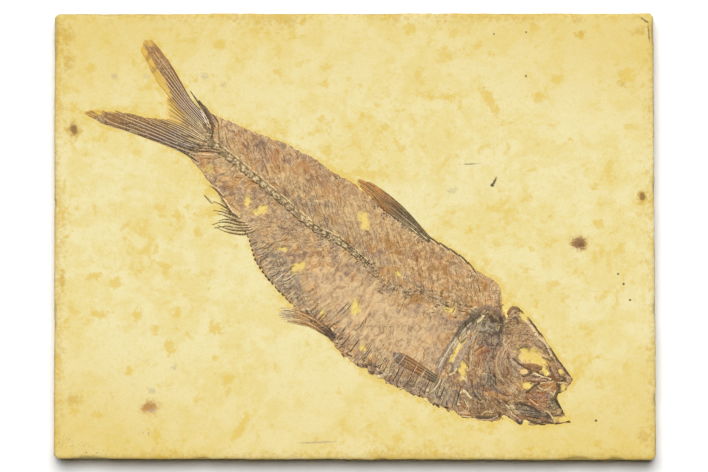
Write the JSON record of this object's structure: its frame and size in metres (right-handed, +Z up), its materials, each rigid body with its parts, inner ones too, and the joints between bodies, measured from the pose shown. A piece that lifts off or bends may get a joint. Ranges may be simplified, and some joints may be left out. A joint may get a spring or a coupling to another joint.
{
  "type": "fossil fish slab",
  "caption": "Whole fossil herring-like fish lying in the face of a thin, roughly rectangular limestone slab that rests on its flat underside.",
  "frame": {"origin": "middle of the slab's flat underside", "axes": "+X along the slab's long side, towards the fish's snout; +Y along its short side, towards the fish's back; +Z up, out of the face that holds the fish"},
  "size_m": [0.1493, 0.1105, 0.0107],
  "materials": {
    "limestone": "matte",
    "fossil_bone": "matte"
  },
  "bodies": {
    "root": {"slab": "limestone", "fish": "fossil_bone"}
  },
  "joints": []
}
